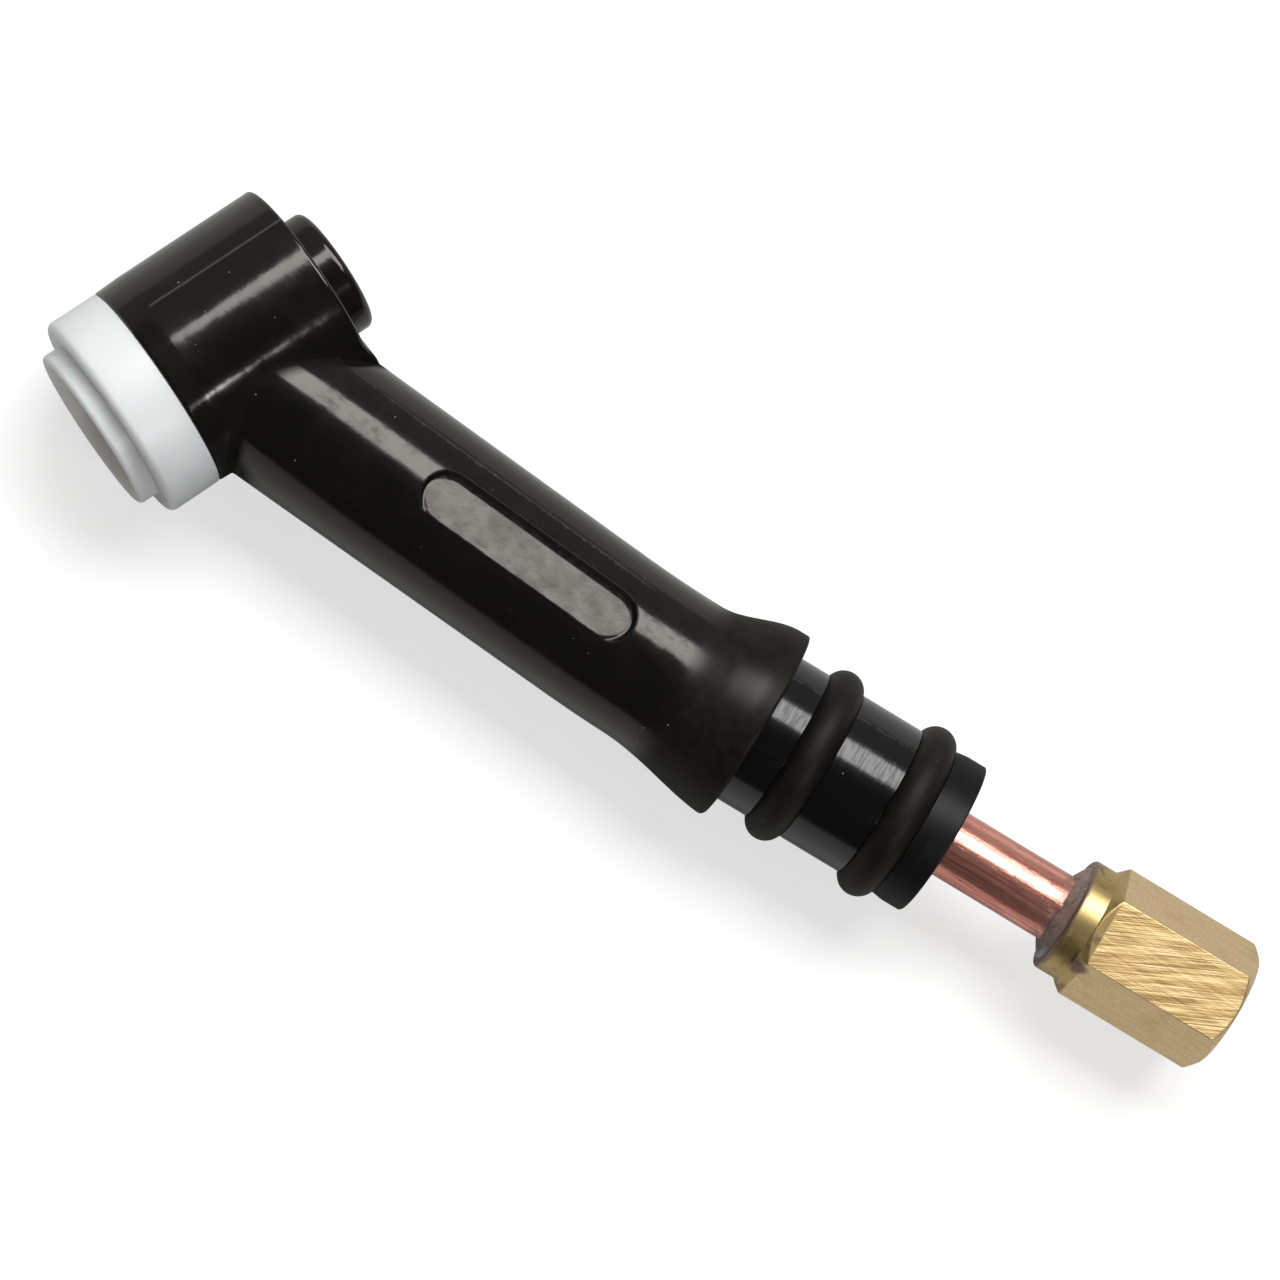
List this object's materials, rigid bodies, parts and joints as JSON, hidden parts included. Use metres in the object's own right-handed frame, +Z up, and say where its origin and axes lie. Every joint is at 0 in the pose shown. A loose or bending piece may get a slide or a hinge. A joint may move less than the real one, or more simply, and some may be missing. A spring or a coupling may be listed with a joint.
{
  "type": "tig torch",
  "caption": "Gas-cooled TIG torch body: angled head with white insulator, flexible rubber-covered neck, O-ringed handle plug, copper tube and brass cable nut.",
  "frame": {"origin": "on the tail's axis in the plane of the bell's end face, where the handle butts", "axes": "+X along the tail towards the cable nut, +Z up and square to the plane of the head and neck, with the torch lying on its side"},
  "size_m": [0.1208, 0.0292, 0.0198],
  "materials": {
    "silicone_black": "satin black moulded silicone rubber with a little dust",
    "plug_black": "glossy black hard plastic with fine scuffs",
    "ring_black": "matt black O-ring rubber",
    "insulator_white": "smooth white PTFE",
    "head_brass": "turned brass",
    "nut_brass": "brushed and scratched brass",
    "tube_copper": "drawn copper with lengthwise marks and stains",
    "braid_copper": "woven bare copper wire",
    "braze_grey": "dull grey silver braze",
    "gas_tube_clear": "pale silicone tube"
  },
  "bodies": {
    "tail": {"neck_bell": "silicone_black", "handle_plug": "plug_black", "front_o_ring": "ring_black", "rear_o_ring": "ring_black", "tail_tube": "tube_copper", "rear_ferrule": "tube_copper", "braid_4": "braid_copper", "gas_tube_4": "gas_tube_clear", "nut_braze": "braze_grey", "cable_nut": "nut_brass"},
    "link_3": {"neck_link_3": "silicone_black", "braid_3": "braid_copper", "gas_tube_3": "gas_tube_clear"},
    "link_2": {"neck_link_2": "silicone_black", "braid_2": "braid_copper", "gas_tube_2": "gas_tube_clear"},
    "link_1": {"neck_link_1": "silicone_black", "braid_1": "braid_copper", "gas_tube_1": "gas_tube_clear"},
    "head": {"head_jacket": "silicone_black", "head_core": "head_brass", "head_ferrule": "tube_copper", "head_braze": "braze_grey"},
    "insulator": {"insulator": "insulator_white"}
  },
  "joints": [
    {"name": "neck_bend", "type": "hinge", "parent": "tail", "child": "link_3", "pos_m": [-0.012, 0, 0], "axis": [0, 0, 1], "range_deg": [-20, 20]},
    {"name": "neck_sway", "type": "hinge", "parent": "link_3", "child": "link_2", "pos_m": [-0.02157, 0.00074, 0], "axis": [0.0767, 0.9971, 0], "range_deg": [-20, 20]},
    {"name": "neck_bend_front", "type": "hinge", "parent": "link_2", "child": "link_1", "pos_m": [-0.03114, 0.00147, 0], "axis": [0, 0, 1], "range_deg": [-20, 20]},
    {"name": "neck_sway_front", "type": "hinge", "parent": "link_1", "child": "head", "pos_m": [-0.04072, 0.00221, 0], "axis": [0.0767, 0.9971, 0], "range_deg": [-20, 20]},
    {"name": "insulator_pull", "type": "slide", "parent": "head", "child": "insulator", "axis": [-0.4131, -0.9107, 0], "range_m": [0, 0.008]}
  ],
  "couplings": [
    {"joint": "neck_bend_front", "follows": "neck_bend", "ratio": 1},
    {"joint": "neck_sway_front", "follows": "neck_sway", "ratio": 1}
  ]
}
